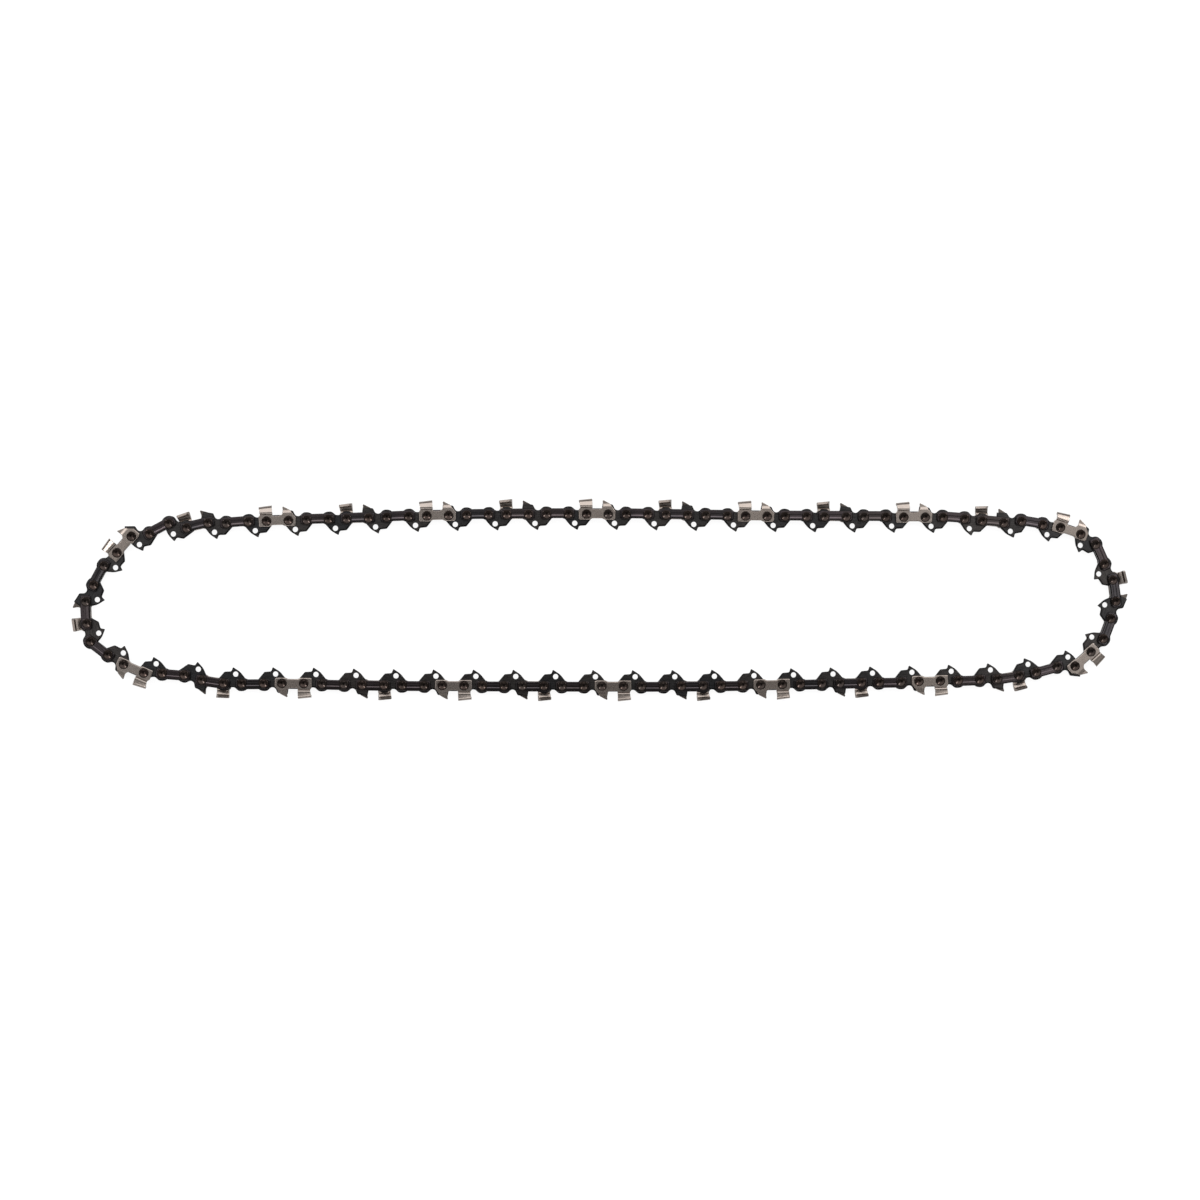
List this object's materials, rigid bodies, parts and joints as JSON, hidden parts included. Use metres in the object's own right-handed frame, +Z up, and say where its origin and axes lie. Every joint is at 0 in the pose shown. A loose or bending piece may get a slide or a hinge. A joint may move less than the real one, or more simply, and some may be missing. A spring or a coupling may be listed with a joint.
{
  "type": "chainsaw chain loop",
  "caption": "Closed loop of low-profile saw chain: hooked drive links joined by riveted tie straps, bumper straps and alternating left and right cutters, lying flat in a long oval.",
  "frame": {"origin": "middle of the loop's footprint, on the surface that it lies on", "axes": "+X along the two long runs, +Y across the loop, +Z up out of the chain's right-hand side"},
  "size_m": [0.4946, 0.0944, 0.0057],
  "materials": {
    "drive_link_steel": "black oxide, satin",
    "strap_steel": "black oxide with a bronze sheen, satin",
    "cutter_steel": "ground and plated steel, satin"
  },
  "bodies": {
    "root": {"drive_links": "drive_link_steel", "left_bumper_strap_01": "strap_steel", "left_bumper_strap_02": "strap_steel", "left_bumper_strap_03": "strap_steel", "left_bumper_strap_04": "strap_steel", "left_bumper_strap_05": "strap_steel", "left_bumper_strap_06": "strap_steel", "left_bumper_strap_07": "strap_steel", "left_bumper_strap_08": "strap_steel", "left_bumper_strap_09": "strap_steel", "left_bumper_strap_10": "strap_steel", "left_bumper_strap_11": "strap_steel", "left_bumper_strap_12": "strap_steel", "left_bumper_strap_13": "strap_steel", "left_bumper_strap_14": "strap_steel", "left_cutter_01": "cutter_steel", "left_cutter_02": "cutter_steel", "left_cutter_03": "cutter_steel", "left_cutter_04": "cutter_steel", "left_cutter_05": "cutter_steel", "left_cutter_06": "cutter_steel", "left_cutter_07": "cutter_steel", "left_cutter_08": "cutter_steel", "left_cutter_09": "cutter_steel", "left_cutter_10": "cutter_steel", "left_cutter_11": "cutter_steel", "left_cutter_12": "cutter_steel", "left_cutter_13": "cutter_steel", "left_cutter_14": "cutter_steel", "left_tie_straps": "strap_steel", "right_bumper_strap_01": "strap_steel", "right_bumper_strap_02": "strap_steel", "right_bumper_strap_03": "strap_steel", "right_bumper_strap_04": "strap_steel", "right_bumper_strap_05": "strap_steel", "right_bumper_strap_06": "strap_steel", "right_bumper_strap_07": "strap_steel", "right_bumper_strap_08": "strap_steel", "right_bumper_strap_09": "strap_steel", "right_bumper_strap_10": "strap_steel", "right_bumper_strap_11": "strap_steel", "right_bumper_strap_12": "strap_steel", "right_bumper_strap_13": "strap_steel", "right_bumper_strap_14": "strap_steel", "right_cutter_01": "cutter_steel", "right_cutter_02": "cutter_steel", "right_cutter_03": "cutter_steel", "right_cutter_04": "cutter_steel", "right_cutter_05": "cutter_steel", "right_cutter_06": "cutter_steel", "right_cutter_07": "cutter_steel", "right_cutter_08": "cutter_steel", "right_cutter_09": "cutter_steel", "right_cutter_10": "cutter_steel", "right_cutter_11": "cutter_steel", "right_cutter_12": "cutter_steel", "right_cutter_13": "cutter_steel", "right_cutter_14": "cutter_steel", "right_tie_straps": "strap_steel"}
  },
  "joints": []
}
